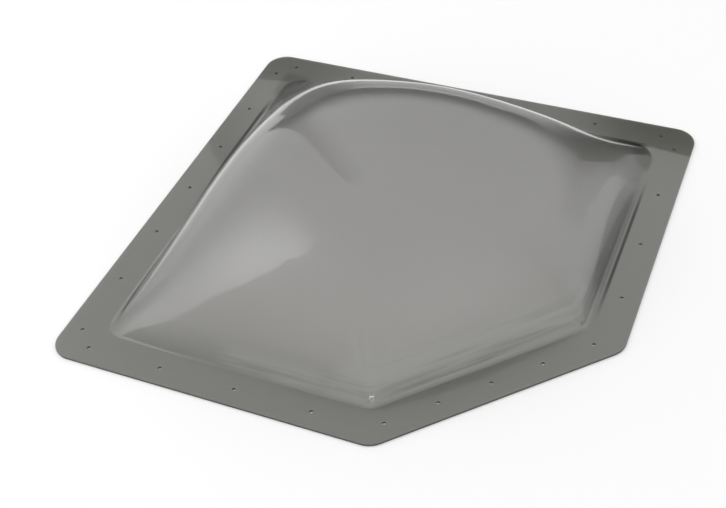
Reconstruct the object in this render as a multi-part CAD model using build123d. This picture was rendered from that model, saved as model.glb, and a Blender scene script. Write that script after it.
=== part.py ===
from build123d import *
import os
from math import pi, sin

# Flange: a square sheet with one corner cut off, its sides along X and Y
LONG_SIDE = 711.2
SHORT_SIDE = 463.55
CORNER_RADIUS = 31.75
SHEET = 3.2
EDGE_BREAK = 0.5

# Frame that the bubble is blown through, a constant distance inside the flange's edge
FRAME_INSET = 55.5
FRAME_CORNER_RADIUS = 25.4

# Bubble: its rise above the flange and how flat its top is
BUBBLE_RISE = 150.0
SHOULDER_POWER = 4.3
CROWN_SHARE = 0.28

# Corners of the bubble above its foot: the reach they are cut back to, how hard and how soon
CORNER_REACH = 368.0
CORNER_HARDNESS = 20
CORNER_HASTE = 4

# Circle that the level sections turn into at the crown, and how late they do
CROWN_CIRCLE_RADIUS = 315.0
CIRCLE_DELAY = 1.5

# Stretched sheet: thinner at the crown, and the inner skin's foot stands inside the outer one's
CROWN_THICKNESS = 2.4
INNER_SKIN_INSET = 1.9

# Bend where the sheet turns up from the flange, by its upper side
ROOT_RADIUS = 7.0

# Screw holes: one row round the flange, spaced from the square corners
HOLE_DIAMETER = 4.8
HOLE_EDGE_DISTANCE = 25.4
FIRST_HOLE = 50.8
LONG_SIDE_HOLES = 7
LONG_SIDE_PITCH = 101.6
SHORT_SIDE_HOLES = 4
SHORT_SIDE_PITCH = 107.95
CUT_SIDE_HOLES = 5
CUT_SIDE_FIRST_HOLE = 29.2

# Corners of the flange before rounding, anticlockwise from the back left
HALF = LONG_SIDE / 2
CUT = LONG_SIDE - SHORT_SIDE
BACK_LEFT = Vector(-HALF, HALF)
FRONT_LEFT = Vector(-HALF, -HALF)
CUT_LEFT = Vector(HALF - CUT, -HALF)
CUT_RIGHT = Vector(HALF, CUT - HALF)
BACK_RIGHT = Vector(HALF, HALF)
CORNERS = [BACK_LEFT, FRONT_LEFT, CUT_LEFT, CUT_RIGHT, BACK_RIGHT]

# Level sections of the bubble: steps from the frame to the crown, closer together up the steep wall,
# and the small flat that the last one leaves at the crown, as a share of the frame's reach
LEVEL_STEPS = 20
LEVEL_SPREAD = 1.35
CROWN_FLAT_SHARE = 0.02

# Stations of a section: steps on half a side, shortening towards the corner, and steps round a corner
HALF_SIDE_STEPS = 7
CORNER_STEPS = 6

# Height band in which an edge counts as lying on one side of the flange
TOUCH = 0.01


def sheet_outline(inset, corner_radius):
    """Five-sided face with rounded corners, its edge a constant distance inside the flange's."""
    outline = make_face(Polyline(*CORNERS, close=True))
    if inset:
        outline = offset(outline, -inset, kind=Kind.INTERSECTION)
    return fillet(outline.vertices(), corner_radius)


def frame_runs(inset):
    """Stations round the frame in five runs, each from one side's middle to the next side's."""
    edges = sheet_outline(inset, FRAME_CORNER_RADIUS).face().outer_wire().order_edges()
    if edges[0].geom_type != GeomType.LINE:
        edges = edges[1:] + edges[:1]
    places = [sin(pi / 2 * step / HALF_SIDE_STEPS) / 2 for step in range(HALF_SIDE_STEPS)]
    runs = []
    for k in range(0, len(edges), 2):
        side, corner, following = edges[k], edges[k + 1], edges[(k + 2) % len(edges)]
        run = [side @ (0.5 + place) for place in places]
        run += [corner @ (step / CORNER_STEPS) for step in range(CORNER_STEPS)]
        run += [following @ (0.5 - place) for place in reversed(places[1:])]
        runs.append(run)
    return runs


def level_shares():
    """Reach of each level section as a share of the frame's, from the frame up to the crown."""
    ups = [(step / LEVEL_STEPS) ** LEVEL_SPREAD for step in range(LEVEL_STEPS + 1)]
    return [1 - (1 - CROWN_FLAT_SHARE) * up for up in ups]


def level_point(station, share, base, rise):
    """Point above a frame station: on the frame's outline at the foot, near a circle at the crown."""
    height = 1 - CROWN_SHARE * share**2 - (1 - CROWN_SHARE) * share**SHOULDER_POWER
    excess = (station.length / CORNER_REACH) ** CORNER_HARDNESS
    cut_back = (1 + excess) ** (-1 / CORNER_HARDNESS)
    squareness = (1 - height) ** CORNER_HASTE
    trimmed = station * (squareness + (1 - squareness) * cut_back)
    roundness = height**CIRCLE_DELAY
    on_circle = station.normalized() * CROWN_CIRCLE_RADIUS
    level = (trimmed * (1 - roundness) + on_circle * roundness) * share
    return Vector(level.X, level.Y, base + rise * height)


def level_section(runs, share, base, rise):
    """Closed smooth curve through a level's points, in five edges that meet above the sides' middles."""
    frame = [station for run in runs for station in run]
    steps = [(b - a).length for a, b in zip(frame, frame[1:] + frame[:1])]
    knots = [sum(steps[:k]) / sum(steps) for k in range(len(steps) + 1)]
    points = [level_point(station, share, base, rise) for station in frame]
    curve = Edge.make_spline(points, periodic=True, parameters=knots)
    ends = [0] + [level_point(run[0], share, base, rise) for run in runs[1:]] + [1]
    return Wire([curve.trim(start, end) for start, end in zip(ends, ends[1:])])


def bubble(inset, base, rise):
    """Solid under one skin of the bubble, lofted up to a small flat at the crown."""
    runs = frame_runs(inset)
    return Solid.make_loft([level_section(runs, share, base, rise) for share in level_shares()])


def foot_edges(body, level):
    """Edges where a skin of the bubble meets the flange, at the given height."""
    at_level = body.edges().filter_by_position(Axis.Z, level - TOUCH, level + TOUCH)
    return at_level.filter_by(GeomType.BSPLINE)


def hole_row(start, end, distances):
    """Hole centres on a side of the flange, at the given distances from its start."""
    along = (end - start).normalized()
    inward = along.rotate(Axis.Z, 90)
    return [start + along * distance + inward * HOLE_EDGE_DISTANCE for distance in distances]


def hole_centres():
    """Centres of all the screw holes, side by side round the flange."""
    long_row = [FIRST_HOLE + LONG_SIDE_PITCH * k for k in range(LONG_SIDE_HOLES)]
    short_row = [FIRST_HOLE + SHORT_SIDE_PITCH * k for k in range(SHORT_SIDE_HOLES)]
    cut_side = (CUT_RIGHT - CUT_LEFT).length
    cut_pitch = (cut_side - 2 * CUT_SIDE_FIRST_HOLE) / (CUT_SIDE_HOLES - 1)
    cut_row = [CUT_SIDE_FIRST_HOLE + cut_pitch * k for k in range(CUT_SIDE_HOLES)]
    centres = hole_row(BACK_LEFT, FRONT_LEFT, long_row)
    centres += hole_row(FRONT_LEFT, CUT_LEFT, short_row)
    centres += hole_row(CUT_LEFT, CUT_RIGHT, cut_row)
    centres += hole_row(CUT_RIGHT, BACK_RIGHT, [SHORT_SIDE - distance for distance in short_row])
    centres += hole_row(BACK_RIGHT, BACK_LEFT, long_row)
    return centres


def flange():
    """Flat five-sided sheet with the arrises of its cut edge taken off, its underside on Z = 0."""
    plate = extrude(sheet_outline(0, CORNER_RADIUS), SHEET)
    levels = plate.faces().sort_by(Axis.Z)
    return chamfer(levels[0].edges() + levels[-1].edges(), EDGE_BREAK)


def skylight():
    """The whole skylight: one sheet, flat at its flange and blown up into a bubble inside it."""
    body = flange() + bubble(FRAME_INSET, SHEET, BUBBLE_RISE)
    body = fillet(foot_edges(body, SHEET), ROOT_RADIUS)
    body -= bubble(FRAME_INSET + INNER_SKIN_INSET, 0, SHEET + BUBBLE_RISE - CROWN_THICKNESS)
    body = fillet(foot_edges(body, 0), ROOT_RADIUS + SHEET)
    upright = (Align.CENTER, Align.CENTER, Align.MIN)
    for centre in hole_centres():
        body -= Pos(centre) * Cylinder(HOLE_DIAMETER / 2, SHEET, align=upright)
    return body


os.makedirs("parts", exist_ok=True)
export_step(skylight(), "parts/skylight_dome.step")
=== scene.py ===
from math import cos, log, radians, sin, sqrt, tan

import bmesh
import bpy
from bpy.props import FloatProperty, FloatVectorProperty, PointerProperty
from bpy.types import Operator, Panel, PropertyGroup
from mathutils import Matrix, Vector


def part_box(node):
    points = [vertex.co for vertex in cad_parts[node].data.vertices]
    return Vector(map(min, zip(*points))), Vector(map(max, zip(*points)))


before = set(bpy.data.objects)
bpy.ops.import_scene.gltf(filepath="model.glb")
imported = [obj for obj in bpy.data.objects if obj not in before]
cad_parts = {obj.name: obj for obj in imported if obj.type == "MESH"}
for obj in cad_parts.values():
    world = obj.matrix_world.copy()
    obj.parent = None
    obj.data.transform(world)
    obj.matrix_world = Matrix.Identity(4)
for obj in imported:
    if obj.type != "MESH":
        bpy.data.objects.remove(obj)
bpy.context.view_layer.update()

bl_info = {
    "name": "Recreational Vehicle Skylight",
    "version": (1, 0, 0),
    "blender": (4, 5, 0),
    "location": "View3D > Sidebar > Skylight",
    "description": "Smoke-tinted finish and photographic stage for a blown roof skylight",
    "category": "Object",
}

WHITE = (1.0, 1.0, 1.0, 1.0)

# Flange outline: a square with one corner cut off, in metres
DOME = "skylight_dome"
HALF_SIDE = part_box(DOME)[1].x
SHORT_SIDE = 0.46355
SHEET_THICKNESS = 0.0032

# Bubble's foot: its distance inside the flange's edge, and its corners at the cut side as X and Y
FOOT_INSET = 0.0555
FRONT_CORNER = (0.085, -0.300)
RIGHT_CORNER = (0.300, -0.085)


# Shader values

class Value:
    """One output of a node tree. Arithmetic on it adds Math nodes."""

    def __init__(self, tree, socket):
        self.tree = tree
        self.socket = socket

    def math(self, operation, *others):
        """Result of a Math node on this value and the others."""
        inputs = dict(enumerate((self, *others)))
        return self.tree.add("ShaderNodeMath", {"operation": operation}, inputs)

    def __add__(self, other):
        return self.math("ADD", other)

    def __sub__(self, other):
        return self.math("SUBTRACT", other)

    def __mul__(self, other):
        return self.math("MULTIPLY", other)

    def __truediv__(self, other):
        return self.math("DIVIDE", other)

    def __rsub__(self, other):
        return self.tree.add("ShaderNodeMath", {"operation": "SUBTRACT"}, {0: other, 1: self})

    __radd__ = __add__
    __rmul__ = __mul__

    def size(self):
        """Absolute value."""
        return self.math("ABSOLUTE")

    def least(self, other):
        """The smaller of the two."""
        return self.math("MINIMUM", other)

    def most(self, other):
        """The larger of the two."""
        return self.math("MAXIMUM", other)

    def ramp(self, start, end):
        """Smooth step from 0, where this value is at start, to 1, where it is at end."""
        inputs = {"Value": self, "From Min": start, "From Max": end}
        return self.tree.add("ShaderNodeMapRange", {"interpolation_type": "SMOOTHSTEP"}, inputs)


class Tree:
    """Builds the nodes of one material or world."""

    def __init__(self, owner):
        owner.use_nodes = True
        self.nodes = owner.node_tree.nodes
        self.links = owner.node_tree.links
        self.nodes.clear()

    def add(self, kind, settings=None, inputs=None, output=0):
        """One node: its settings first, then its sockets' values or links. Gives one output."""
        node = self.nodes.new(kind)
        for name, value in (settings or {}).items():
            setattr(node, name, value)
        for name, value in (inputs or {}).items():
            if isinstance(value, Value):
                self.links.new(value.socket, node.inputs[name])
            else:
                node.inputs[name].default_value = value
        return Value(self, node.outputs[output]) if node.outputs else None

    def place(self):
        """Object coordinates."""
        return self.add("ShaderNodeTexCoord", output="Object")

    def part(self, vector, axis):
        """X, Y or Z of a vector."""
        return self.add("ShaderNodeSeparateXYZ", inputs={0: vector}, output=axis)

    def places(self, axes):
        """Object coordinates on the named axes."""
        vector = self.place()
        return [self.part(vector, axis) for axis in axes]

    def noise(self, vector, scale, detail):
        """Grey noise from 0 to 1 at so many waves a metre."""
        inputs = {"Vector": vector, "Scale": scale, "Detail": detail}
        return self.add("ShaderNodeTexNoise", inputs=inputs)

    def grain(self, vector, scale, detail):
        """Grey noise with its own waves a metre on each axis."""
        stretched = self.add("ShaderNodeMapping", inputs={"Vector": vector, "Scale": scale})
        return self.noise(stretched, 1.0, detail)

    def blend(self, factor, first, second):
        """Colour between two colours."""
        inputs = {0: factor, 6: first, 7: second}
        return self.add("ShaderNodeMix", {"data_type": "RGBA"}, inputs, output=2)

    def grey(self, factor, low, high):
        """Grey from one level, where the factor is 0, to another, where it is 1."""
        return self.blend(factor, (low, low, low, 1.0), (high, high, high, 1.0))


# Settings

class SheetSettings(PropertyGroup):
    """Looks of the smoke-tinted sheet."""

    tint: FloatVectorProperty(
        name="Tint", description="Share of each colour of light that gets through the flat sheet",
        subtype="COLOR", size=3, min=0.01, max=1.0, default=(0.60, 0.60, 0.58))
    ior: FloatProperty(
        name="Refractive index", description="How strongly the plastic bends and mirrors light",
        min=1.3, max=1.8, default=1.585)
    haze: FloatProperty(
        name="Haze", description="How much the sheet scatters what is seen through it",
        subtype="FACTOR", min=0.0, max=1.0, default=0.3)
    gloss: FloatProperty(
        name="Skin roughness", description="Roughness of the polished skin",
        subtype="FACTOR", min=0.0, max=1.0, default=0.03)
    handling: FloatProperty(
        name="Handling marks",
        description="Share of the polish that smears and fine rubbing take off",
        subtype="FACTOR", min=0.0, max=1.0, default=0.2)
    sawn: FloatProperty(
        name="Sawn edges", description="Roughness of the trimmed edge and of the drilled holes",
        subtype="FACTOR", min=0.0, max=1.0, default=0.45)
    ripple: FloatProperty(
        name="Ripple", description="Height of the shallow waves that heating leaves in the sheet",
        subtype="DISTANCE", unit="LENGTH", min=0.0, max=0.001, default=0.00004)
    streaks: FloatProperty(
        name="Draw streaks",
        description="Height of the upright streaks at the foot of the bubble",
        subtype="DISTANCE", unit="LENGTH", min=0.0, max=0.001, default=0.00006)


class StageSettings(PropertyGroup):
    """Floor, lights and camera of the photographic stage."""

    floor: FloatVectorProperty(
        name="Floor", description="Colour of the pale floor", subtype="COLOR", size=3,
        min=0.0, max=1.0, default=(0.84, 0.84, 0.84))
    ambient: FloatProperty(
        name="Room light", description="Strength of the even light from the room",
        min=0.0, max=4.0, default=0.92)
    panel: FloatProperty(
        name="Panel light", description="What its lamp adds to the soft panel on the left",
        min=0.0, max=20.0, default=1.2)
    azimuth: FloatProperty(
        name="Azimuth", description="Camera's turn about the upright axis from the front",
        subtype="ANGLE", unit="ROTATION", default=radians(26.105))
    elevation: FloatProperty(
        name="Elevation", description="Camera's height angle above the floor",
        subtype="ANGLE", unit="ROTATION", default=radians(43.819))
    roll: FloatProperty(
        name="Roll", description="Camera's turn about its line of sight",
        subtype="ANGLE", unit="ROTATION", default=radians(-5.324))
    distance: FloatProperty(
        name="Distance", description="From the camera to the point it looks at",
        subtype="DISTANCE", unit="LENGTH", min=0.1, default=1.7105)
    lens: FloatProperty(
        name="Lens", description="Focal length in millimetres on a 36 mm frame",
        min=10.0, max=300.0, default=60.52)
    target: FloatVectorProperty(
        name="Target", description="Point that the camera looks at", subtype="XYZ", unit="LENGTH",
        size=3, default=(-0.02875, -0.04725, 0.0))


# Smoke-tinted sheet. A pair of numbers is a smooth step, from where it starts to where it is
# full: in metres, or as a level of noise where its name says SHARE

def inside_cut(x, y):
    """Distance of a point inside the flange's cut side."""
    return (SHORT_SIDE - x + y) / sqrt(2)


def inside_outline(x, y):
    """Distance of a point inside the flange's five straight sides."""
    nearest = (x + HALF_SIDE).least(HALF_SIDE - x)
    nearest = nearest.least(y + HALF_SIDE).least(HALF_SIDE - y)
    return nearest.least(inside_cut(x, y))


def off_point(first, second, point):
    """Distance from a point on two axes."""
    across, along = first - point[0], second - point[1]
    return (across * across + along * along).math("SQRT")


# Painted shade along the foot's bend: how high it reaches, and how dark it is
SHADOW_TOP = (0.045, 0.035)
SHADOW_STRENGTH = 0.95

# Left side: a painted shade line that runs further inside the outline towards the front
LEFT_INSET = 0.0522
LEFT_INSET_LEAST = 0.0485
LEFT_SLANT = 0.05
LEFT_HALF_WIDTH = (0.004, 0.0015)
LEFT_ACROSS = (-0.25, -0.27)
LEFT_BACK = (0.25, 0.19)
LEFT_FRONT = (-0.285, -0.255)

# Right side: painted shade, a thin line on the flange's bend and a fainter arch on the wall above
# it
RIGHT_OUTER = (0.0450, 0.0466)
RIGHT_INNER = (0.0508, 0.0492)
RIGHT_ACROSS = (0.24, 0.25)
RIGHT_BACK = (0.24, 0.14)
RIGHT_FRONT = (-0.08, 0.02)
ARCH_MIDDLE = 0.09
ARCH_HALF_LENGTH = 0.17
ARCH_HEIGHT = 0.036
ARCH_EDGE = (0.0, 0.004)
ARCH_FOOT = (0.051, 0.054)
ARCH_STRENGTH = 0.4

# Back side: painted shade on the bend itself, near the right corner only
BEND_OUTER = (FOOT_INSET - 0.008, FOOT_INSET - 0.0045)
BEND_INNER = (FOOT_INSET + 0.0035, FOOT_INSET)
BACK_ALONG = (0.25, 0.27)
BACK_LEFT = (0.16, 0.26)
BACK_RIGHT = (0.296, 0.276)

# Shaded corners of the wall: where, how far round, how far inside the outline, and how dark
SHADED_CORNERS = (
    ((-0.298, 0.282), (0.046, 0.022), (0.036, 0.05), 0.35),
    ((0.296, 0.262), (0.026, 0.010), (0.047, 0.054), 0.4),
)


def foot_shadows(x, y, z, inside):
    """Painted shade where the foot looks nearly black: along the bend on three sides, and two
    corners.
    """
    centre = (LEFT_INSET - LEFT_SLANT * y).most(LEFT_INSET_LEAST)
    left = (inside - centre).size().ramp(*LEFT_HALF_WIDTH)
    left = left * x.ramp(*LEFT_ACROSS) * y.ramp(*LEFT_BACK) * y.ramp(*LEFT_FRONT)

    right_shade_line = inside.ramp(*RIGHT_OUTER) * inside.ramp(*RIGHT_INNER)
    half = (y - ARCH_MIDDLE) / ARCH_HALF_LENGTH
    arch = (ARCH_HEIGHT * (1 - half * half) - z).ramp(*ARCH_EDGE) * inside.ramp(*ARCH_FOOT)
    right = right_shade_line.most(ARCH_STRENGTH * arch)
    right = right * (x.ramp(*RIGHT_ACROSS) * y.ramp(*RIGHT_BACK) * y.ramp(*RIGHT_FRONT))

    back = inside.ramp(*BEND_OUTER) * inside.ramp(*BEND_INNER)
    back = back * (y.ramp(*BACK_ALONG) * x.ramp(*BACK_LEFT) * x.ramp(*BACK_RIGHT))

    dark = SHADOW_STRENGTH * left.most(back).most(right)
    for corner, reach, depth, strength in SHADED_CORNERS:
        shade = off_point(x, y, corner).ramp(*reach) * inside.ramp(*depth)
        dark = dark.most(strength * shade)
    return z.ramp(*SHADOW_TOP) * dark


# Level lines up the wall of the two front sides: draw marks, painted pale as sheen
WALL = (FOOT_INSET - 0.002, FOOT_INSET + 0.003)
LINE_GRAIN = (7.0, 7.0, 200.0)
LINE_SHARE = (0.34, 0.54)
CUT_REACH = (FOOT_INSET + 0.06, FOOT_INSET + 0.04)
CUT_TOP = (0.065, 0.03)
FRONT_REACH = (FOOT_INSET + 0.05, FOOT_INSET + 0.03)
FRONT_TOP = (0.036, 0.018)
FRONT_LEFT = (-0.14, -0.10)
FRONT_RIGHT = (0.10, -0.02)

# Streaks that fan out from the corners at the cut side, painted pale as sheen: each corner and how
# far they spread, at their full strength within the core's share of that
FANS = ((FRONT_CORNER, 0.075), (RIGHT_CORNER, 0.05))
FAN_CORE = 0.3
FAN_SCALE = 3.4
FAN_SHARE = (0.42, 0.68)
FAN_FOOT = (FOOT_INSET - 0.004, FOOT_INSET)
FAN_STRENGTH = 0.8


def foot_streaks_and_sheen(tree, vector, x, y, z, inside):
    """Pale streaks with painted sheen: along the foot of the two front sides, and fanning out at
    their corners.
    """
    lines = tree.grain(vector, LINE_GRAIN, detail=2.0).ramp(*LINE_SHARE)
    cut = inside_cut(x, y).ramp(*CUT_REACH) * z.ramp(*CUT_TOP)
    front = (y + HALF_SIDE).ramp(*FRONT_REACH) * z.ramp(*FRONT_TOP)
    front = front * x.ramp(*FRONT_LEFT) * x.ramp(*FRONT_RIGHT)
    pale = inside.ramp(*WALL) * lines * cut.most(front)
    for corner, spread in FANS:
        angle = (y - corner[1]).math("ARCTAN2", x - corner[0])
        inputs = {"W": angle, "Scale": FAN_SCALE, "Detail": 1.0}
        rays = tree.add("ShaderNodeTexNoise", {"noise_dimensions": "1D"}, inputs).ramp(*FAN_SHARE)
        near = off_point(x, y, corner).ramp(spread, spread * FAN_CORE) * inside.ramp(*FAN_FOOT)
        pale = pale.most(FAN_STRENGTH * (rays * near))
    return pale


# Sawn edge and drilled holes: upright walls, by the size of their normal's Z, in the flat sheet
SAWN_TURN = (0.35, 0.15)
SAWN_TOP = (SHEET_THICKNESS * 1.2, SHEET_THICKNESS)
SAW_GRAIN = (900.0, 900.0, 150.0)
SAW_HEIGHT = 0.00003

# Handling marks: broad smears broken up by fine rubbing
SMEAR_SCALE = 9.0
SMEAR_SHARE = (0.45, 0.75)
RUB_GRAIN = (60.0, 260.0, 60.0)
RUB_SHARE = (0.4, 0.8)

# Shallow waves all over, and streaks up the foot of the bubble
WAVE_SCALE = 14.0
FINE_WAVE_SCALE = 160.0
FINE_WAVE_SHARE = 0.12
STREAK_GRAIN = (90.0, 90.0, 6.0)
STREAK_TOP = (0.07, 0.012)
STREAK_FOOT = (FOOT_INSET - 0.012, FOOT_INSET)

# Dyes: greener and denser in the flat flange than in the blown bubble, with faint clouding
CLOUD_SCALE = 5.0
FLAT_DYES = ((0.61, 0.618, 0.578, 1.0), (0.634, 0.642, 0.602, 1.0))
# Lighter colour low on the bubble's walls than on its crown: painted light against the walls'
# darker look
LIGHTENED_WALL_COLOUR = (0.885, 0.876, 0.872, 1.0)
CROWN_DYES = ((0.803, 0.795, 0.796, 1.0), (0.815, 0.807, 0.806, 1.0))
CROWN = (0.05, 0.15)
BLOWN = (FOOT_INSET - 0.006, FOOT_INSET + 0.03)
# Pale colour of the streaks: painted sheen on the draw marks
STREAK_SHEEN_COLOUR = (1.0, 1.0, 0.99, 1.0)
# Colour of the painted shadow at the foot
PAINTED_SHADOW_COLOUR = (0.05, 0.05, 0.04, 1.0)

# Keeps each colour of the absorbing dye above black
DYE_HEADROOM = 1.05


def smoke_sheet(settings):
    """Polished see-through plastic that absorbs light along its way through the sheet."""
    material = bpy.data.materials.new("smoke_polycarbonate")
    tree = Tree(material)
    vector = tree.place()
    x, y, z = tree.places("XYZ")
    inside = inside_outline(x, y)
    facing = tree.part(tree.add("ShaderNodeNewGeometry", output="Normal"), "Z").size()
    sawn = facing.ramp(*SAWN_TURN) * z.ramp(*SAWN_TOP)

    # Finish of the skin
    smears = tree.noise(vector, SMEAR_SCALE, detail=3.0).ramp(*SMEAR_SHARE)
    rubbing = tree.grain(vector, RUB_GRAIN, detail=4.0).ramp(*RUB_SHARE)
    roughness = settings.haze * (1 - sawn) + settings.sawn * sawn
    polish = (1 - sawn) * (1 - settings.handling * (smears * rubbing))

    # Height of the skin
    fine_waves = FINE_WAVE_SHARE * tree.noise(vector, FINE_WAVE_SCALE, detail=1.0)
    waves = tree.noise(vector, WAVE_SCALE, detail=1.0) + fine_waves
    foot = z.ramp(*STREAK_TOP) * inside.ramp(*STREAK_FOOT)
    streaks = foot * tree.grain(vector, STREAK_GRAIN, detail=2.0)
    saw_marks = sawn * tree.grain(vector, SAW_GRAIN, detail=2.0)
    height = settings.ripple * waves + settings.streaks * streaks + SAW_HEIGHT * saw_marks
    bump = tree.add("ShaderNodeBump", inputs={"Height": height, "Distance": 1.0, "Strength": 1.0})

    # Colour of the skin, with painted sheen and painted shade at the foot
    cloud = tree.noise(vector, CLOUD_SCALE, detail=2.0)
    # Painted light: lighter low on the walls, darker towards the crown
    blown_dye = tree.blend(z.ramp(*CROWN), LIGHTENED_WALL_COLOUR, tree.blend(cloud, *CROWN_DYES))
    colour = tree.blend(inside.ramp(*BLOWN), tree.blend(cloud, *FLAT_DYES), blown_dye)
    colour = tree.blend(foot_streaks_and_sheen(tree, vector, x, y, z, inside), colour, STREAK_SHEEN_COLOUR)
    # Painted shade at the foot, which also takes the coat's gloss away there
    dark = foot_shadows(x, y, z, inside)
    colour = tree.blend(dark, colour, PAINTED_SHADOW_COLOUR)
    inputs = {
        "Base Color": colour,
        "Roughness": roughness,
        "IOR": settings.ior,
        "Transmission Weight": 1.0,
        "Coat Weight": polish * (1 - dark),
        "Coat Roughness": settings.gloss,
        "Coat IOR": settings.ior,
        "Normal": bump,
    }
    surface = tree.add("ShaderNodeBsdfPrincipled", inputs=inputs)

    # Dye inside the sheet: how strongly it absorbs each colour, for each metre
    absorbed = [-log(share) / SHEET_THICKNESS for share in settings.tint]
    density = max(absorbed) * DYE_HEADROOM
    kept = [1 - one / density for one in absorbed]
    inputs = {"Color": (*kept, 1.0), "Density": density}
    dye = tree.add("ShaderNodeVolumeAbsorption", inputs=inputs)
    tree.add("ShaderNodeOutputMaterial", inputs={"Surface": surface, "Volume": dye})
    return material


class SKYLIGHT_OT_finish_sheet(Operator):
    """Give the blown sheet its smoke-tinted finish."""

    bl_idname = "skylight.finish_sheet"
    bl_label = "Finish Sheet"
    bl_options = {"REGISTER", "UNDO"}

    def execute(self, context):
        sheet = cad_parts.get(DOME)
        if sheet is None:
            raise RuntimeError(f"the frame has no node named {DOME}")
        material = smoke_sheet(context.scene.skylight_sheet)
        for material_slot in sheet.material_slots:
            material_slot.material = material
        return {"FINISHED"}


# Stage. A level of 1 is as bright as the room is in gloss

FLOOR_HALF = 12.0
FLOOR_DROP = 0.0004

# Soft panel on the left: its corners as Y and Z on an upright plane, the lamp behind it, and how
# far from the lamp the panel starts to brighten and is brightest
PANEL_X = -1.5
PANEL_CORNERS = ((-1.28, 0.0), (-1.28, 1.5), (-0.3, 3.0), (2.3, 3.0), (1.6, 0.6), (1.45, 0.0))
LAMP_Y = -0.8
LAMP_Z = 1.95
LAMP_GLOW = (1.9, 0.3)

# Shadow along the panel's back edge, which leans back as it rises: where it starts at the floor,
# how far it reaches, how bright it is at the edge, and how high it is as dark as the strip
SHADE_X = -1.49
SHADE_CORNERS = ((1.32, 0.0), (2.17, 3.0), (2.72, 3.0), (1.87, 0.0))
SHADE_START = 1.32
SHADE_LEAN = 0.283
SHADE_REACH = 0.5
SHADE_LEVEL = 0.45
SHADE_FOOT = (0.30, 0.85)

# Dark strip round the far edge of the studio, from the left, its heights as angles from the middle
STRIP_DISTANCE = 3.5
STRIP_LOW = radians(0.2)
STRIP_SOLID = radians(5.5)
STRIP_HIGH = radians(20)
STRIP_FROM = radians(-48)
STRIP_TURN = radians(93)
STRIP_STEPS = 32
STRIP_LEVEL = 0.06
STRIP_RIGHT_LEVEL = 0.8
STRIP_FADE = (0.9, 2.6)

# Painted shade of the floor just behind the skylight, a dim card seen only in gloss:
# its corners as X and Z on an upright plane
CARD_Y = 0.45
CARD_CORNERS = (
    (-0.52, 0.0), (-0.52, 0.15), (-0.36, 0.13), (-0.25, 0.105),
    (0.1, 0.105), (0.2, 0.12), (0.36, 0.13), (0.36, 0.0))
CARD_LEFT_LEVEL = 0.2
CARD_MIDDLE_LEVEL = 0.55
CARD_LEFT_FADE = (-0.36, -0.2)
CARD_RIGHT_FADE = (0.1, 0.26)
BLACK = (0.0, 0.0, 0.0, 1.0)

# Painted shade on the floor at the left, a dim sheet seen only in gloss: its corners as X and Y
FLOOR_SHADE_Z = 0.001
FLOOR_SHADE_CORNERS = ((-0.42, -0.9), (-0.42, 0.45), (-1.45, 1.4), (-1.45, -0.9))
FLOOR_SHADE_LEVEL = 0.78

# Small bright card in front: its turn from the back, its height angle and half its sides
GLINT_TURN = radians(154)
GLINT_RISE = radians(5)
GLINT_DISTANCE = 1.8
GLINT_HALF_SIZE = (0.24, 0.03)
GLINT_LEVEL = 8.0

# Width of the camera's frame in millimetres, for its focal length
FRAME_WIDTH = 36.0


def seen_rays(tree):
    """1 for rays from the camera, and from gloss and glass in its view."""
    seen = tree.add("ShaderNodeLightPath", output="Is Camera Ray")
    for kind in ("Is Glossy Ray", "Is Transmission Ray"):
        seen = seen.most(tree.add("ShaderNodeLightPath", output=kind))
    return seen


def floor_material(colour):
    """Pale matt floor, lifted to white where it is seen and lit."""
    material = bpy.data.materials.new("pale_floor")
    tree = Tree(material)
    paper = tree.add("ShaderNodeBsdfDiffuse", inputs={"Color": (*colour, 1.0)})
    lift = (1 - colour[0]) * seen_rays(tree)
    glow = tree.add("ShaderNodeEmission", inputs={"Color": WHITE, "Strength": lift})
    surface = tree.add("ShaderNodeAddShader", inputs={0: paper, 1: glow})
    tree.add("ShaderNodeOutputMaterial", inputs={"Surface": surface})
    return material


def glow_material(name, colour_of=None, strength=1.0):
    """Glowing material: white, or the colour that a function makes in its tree."""
    material = bpy.data.materials.new(name)
    tree = Tree(material)
    colour = colour_of(tree) if colour_of else WHITE
    glow = tree.add("ShaderNodeEmission", inputs={"Color": colour, "Strength": strength})
    tree.add("ShaderNodeOutputMaterial", inputs={"Surface": glow})
    return material


def panel_glow(tree, lamp):
    """As bright as the room, and brighter towards the lamp by what the lamp adds."""
    y, z = tree.places("YZ")
    near = off_point(y, z, (LAMP_Y, LAMP_Z)).ramp(*LAMP_GLOW)
    return tree.grey(near, 1.0, 1.0 + lamp)


def shade_glow(tree):
    """Shadow that fades into the room away from the panel, as dark as the strip low down."""
    y, z = tree.places("YZ")
    away = (y - SHADE_LEAN * z).ramp(SHADE_START, SHADE_START + SHADE_REACH)
    low = tree.grey(away, SHADE_LEVEL * STRIP_LEVEL, STRIP_LEVEL)
    return tree.blend(z.ramp(*SHADE_FOOT), low, tree.grey(away, SHADE_LEVEL, 1.0))


def strip_glow(tree):
    """Dark on the left, and brighter to the right and towards the top."""
    x, z = tree.places("XZ")
    low = tree.grey(x.ramp(*STRIP_FADE), STRIP_LEVEL, STRIP_RIGHT_LEVEL)
    up = z.ramp(STRIP_DISTANCE * tan(STRIP_SOLID), STRIP_DISTANCE * tan(STRIP_HIGH))
    return tree.blend(up, low, WHITE)


def back_shade_glow(tree):
    """Painted shade: dim, darker at the left end and black at the right end."""
    x = tree.part(tree.place(), "X")
    left_part = tree.grey(x.ramp(*CARD_LEFT_FADE), CARD_LEFT_LEVEL, CARD_MIDDLE_LEVEL)
    return tree.blend(x.ramp(*CARD_RIGHT_FADE), left_part, BLACK)


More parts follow.
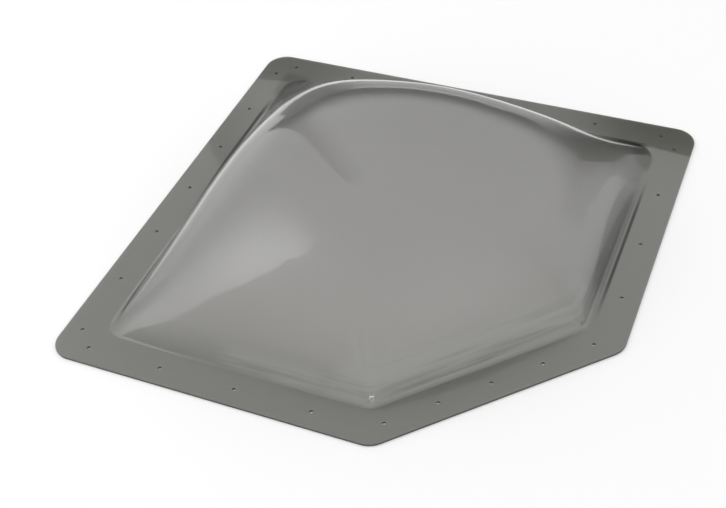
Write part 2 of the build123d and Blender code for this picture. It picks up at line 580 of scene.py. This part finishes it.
def stage_object(name, mesh_maker, material):
    """Object of the stage with a mesh from a bmesh function."""
    shape = bmesh.new()
    mesh_maker(shape)
    mesh = bpy.data.meshes.new(name)
    shape.to_mesh(mesh)
    shape.free()
    mesh.materials.append(material)
    piece = bpy.data.objects.new(name, mesh)
    bpy.context.scene.collection.objects.link(piece)
    return piece


def flat_face(shape, corners):
    """One flat face with the given corners."""
    points = [shape.verts.new(corner) for corner in corners]
    rim = [shape.edges.new(pair) for pair in zip(points, points[1:] + points[:1])]
    bmesh.ops.contextual_create(shape, geom=rim)


def floor_mesh(shape):
    """Large square floor just below the flange."""
    move = Matrix.Translation((0, 0, -FLOOR_DROP))
    bmesh.ops.create_grid(shape, x_segments=1, y_segments=1, size=FLOOR_HALF, matrix=move)


def panel_mesh(shape):
    """Upright soft panel on the left, its front corner sloping back."""
    flat_face(shape, [(PANEL_X, y, z) for y, z in PANEL_CORNERS])


def shade_mesh(shape):
    """Shadow beside the panel, just in front of its plane."""
    flat_face(shape, [(SHADE_X, y, z) for y, z in SHADE_CORNERS])


def back_shade_mesh(shape):
    """Upright card of painted shade behind the skylight."""
    flat_face(shape, [(x, CARD_Y, z) for x, z in CARD_CORNERS])


def floor_shade_mesh(shape):
    """Dim sheet of painted shade on the floor, seen only in gloss."""
    flat_face(shape, [(x, y, FLOOR_SHADE_Z) for x, y in FLOOR_SHADE_CORNERS])


def strip_mesh(shape):
    """Long dark strip round the back, a little above the floor."""
    start = Vector((sin(STRIP_FROM), cos(STRIP_FROM), 0)) * STRIP_DISTANCE
    low = shape.verts.new(start + Vector((0, 0, STRIP_DISTANCE * tan(STRIP_LOW))))
    high = shape.verts.new(start + Vector((0, 0, STRIP_DISTANCE * tan(STRIP_HIGH))))
    edge = shape.edges.new((low, high))
    bmesh.ops.spin(
        shape, geom=[low, high, edge], cent=(0, 0, 0), axis=(0, 0, 1),
        angle=-STRIP_TURN, steps=STRIP_STEPS)


def glint_mesh(shape):
    """Small card that faces the skylight."""
    level = cos(GLINT_RISE)
    toward = Vector((sin(GLINT_TURN) * level, cos(GLINT_TURN) * level, sin(GLINT_RISE)))
    turn = toward.to_track_quat("Z", "Y").to_matrix().to_4x4()
    wide = Matrix.Diagonal((*GLINT_HALF_SIZE, 1.0, 1.0))
    move = Matrix.Translation(toward * GLINT_DISTANCE) @ turn @ wide
    bmesh.ops.create_grid(shape, x_segments=1, y_segments=1, size=1.0, matrix=move)


def room_light(strength):
    """Even room light that shows as white."""
    world = bpy.data.worlds.new("room")
    bpy.context.scene.world = world
    tree = Tree(world)
    seen = seen_rays(tree)
    level = seen + strength * (1 - seen)
    sky = tree.add("ShaderNodeBackground", inputs={"Color": WHITE, "Strength": level})
    tree.add("ShaderNodeOutputWorld", inputs={"Surface": sky})


def photo_camera(settings):
    """Camera at the photograph's viewing angle."""
    data = bpy.data.cameras.new("photo_camera")
    data.sensor_width = FRAME_WIDTH
    data.lens = settings.lens
    turn, rise = settings.azimuth, settings.elevation
    back = Vector((sin(turn) * cos(rise), -cos(turn) * cos(rise), sin(rise)))
    right = (-back).cross(Vector((0, 0, 1))).normalized()
    up = back.cross(right)
    tilt = Matrix.Rotation(settings.roll, 3, back)
    axes = Matrix((tilt @ right, tilt @ up, back)).transposed().to_4x4()
    spot = Vector(settings.target) + back * settings.distance
    camera = bpy.data.objects.new("photo_camera", data)
    camera.matrix_world = Matrix.Translation(spot) @ axes
    bpy.context.scene.collection.objects.link(camera)
    bpy.context.scene.camera = camera


class SKYLIGHT_OT_set_stage(Operator):
    """Set the floor, the lights and the camera."""

    bl_idname = "skylight.set_stage"
    bl_label = "Set Stage"
    bl_options = {"REGISTER", "UNDO"}

    def execute(self, context):
        settings = context.scene.skylight_stage
        stage_object("floor", floor_mesh, floor_material(settings.floor))
        soft_light = glow_material("soft_light", lambda tree: panel_glow(tree, settings.panel))
        panel = stage_object("soft_panel", panel_mesh, soft_light)
        panel.visible_camera = False
        cards = (
            ("dark_strip", strip_mesh, glow_material("far_edge", strip_glow)),
            ("back_floor_shade", back_shade_mesh, glow_material("back_floor_shade", back_shade_glow)),
            ("floor_shade", floor_shade_mesh, glow_material("floor_shade", strength=FLOOR_SHADE_LEVEL)),
            ("panel_shadow", shade_mesh, glow_material("panel_shadow", shade_glow)),
            ("small_card", glint_mesh, glow_material("small_card", strength=GLINT_LEVEL)),
        )
        for card in cards:
            piece = stage_object(*card)
            for kind in ("camera", "diffuse", "transmission", "shadow"):
                setattr(piece, f"visible_{kind}", False)
        room_light(settings.ambient)
        photo_camera(settings)
        context.scene.view_settings.view_transform = "Standard"
        return {"FINISHED"}


class SKYLIGHT_PT_sidebar(Panel):
    """Skylight tools in the 3D view's sidebar."""

    bl_label = "Skylight"
    bl_idname = "SKYLIGHT_PT_sidebar"
    bl_space_type = "VIEW_3D"
    bl_region_type = "UI"
    bl_category = "Skylight"

    def draw(self, context):
        layout = self.layout
        for group in (context.scene.skylight_sheet, context.scene.skylight_stage):
            for name in group.bl_rna.properties.keys():
                if name not in ("rna_type", "name"):
                    layout.prop(group, name)
        for step in STEPS:
            layout.operator(step.bl_idname)


STEPS = (SKYLIGHT_OT_finish_sheet, SKYLIGHT_OT_set_stage)
CLASSES = (SheetSettings, StageSettings, *STEPS, SKYLIGHT_PT_sidebar)


def register():
    for one in CLASSES:
        bpy.utils.register_class(one)
    bpy.types.Scene.skylight_sheet = PointerProperty(type=SheetSettings)
    bpy.types.Scene.skylight_stage = PointerProperty(type=StageSettings)


def unregister():
    del bpy.types.Scene.skylight_stage
    del bpy.types.Scene.skylight_sheet
    for one in reversed(CLASSES):
        bpy.utils.unregister_class(one)


def main():
    """Build the whole scene."""
    register()
    bpy.ops.skylight.finish_sheet()
    bpy.ops.skylight.set_stage()


if __name__ == "__main__":
    main()
